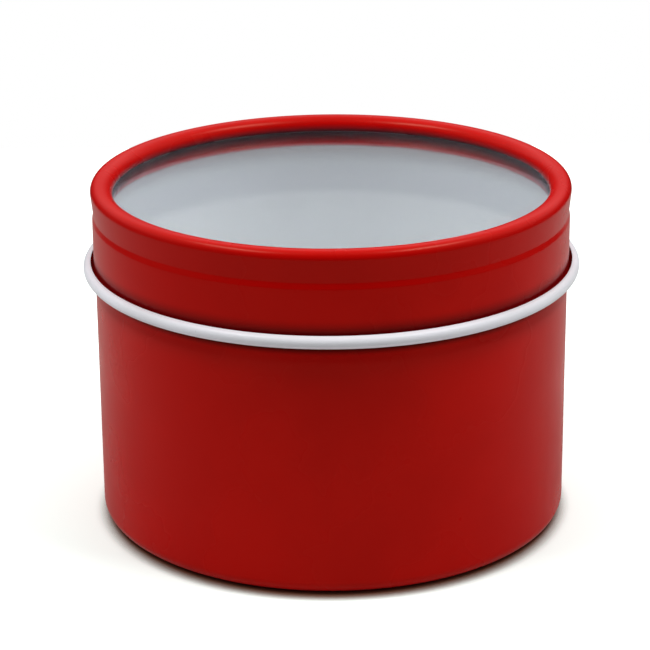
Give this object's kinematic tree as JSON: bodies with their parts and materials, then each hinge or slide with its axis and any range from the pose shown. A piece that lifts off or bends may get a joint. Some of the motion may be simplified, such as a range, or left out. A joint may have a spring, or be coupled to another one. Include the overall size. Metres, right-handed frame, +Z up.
{
  "type": "window lid tin",
  "caption": "Round slip-lid tin: a drawn metal cup, and a lid ring with a rolled edge round a clear window that lifts off.",
  "frame": {"origin": "centre of the base, at the height of the ring that the tin stands on", "axes": "+Z up along the axis of the tin and out through the window, +Y away from the viewer, +X to the viewer's right"},
  "size_m": [0.0686, 0.0686, 0.0477],
  "materials": {
    "red_lacquer": "satin red lacquer on tinplate, pale lacquer on the inner face and on the rolled edge",
    "clear_plastic": "clear, smooth and slightly hazy"
  },
  "bodies": {
    "tin": {"tin_body": "red_lacquer"},
    "lid": {"lid_ring": "red_lacquer", "window": "clear_plastic"}
  },
  "joints": [
    {"name": "lid_lift", "type": "slide", "parent": "tin", "child": "lid", "axis": [0, 0, 1], "range_m": [0, 0.04]}
  ]
}
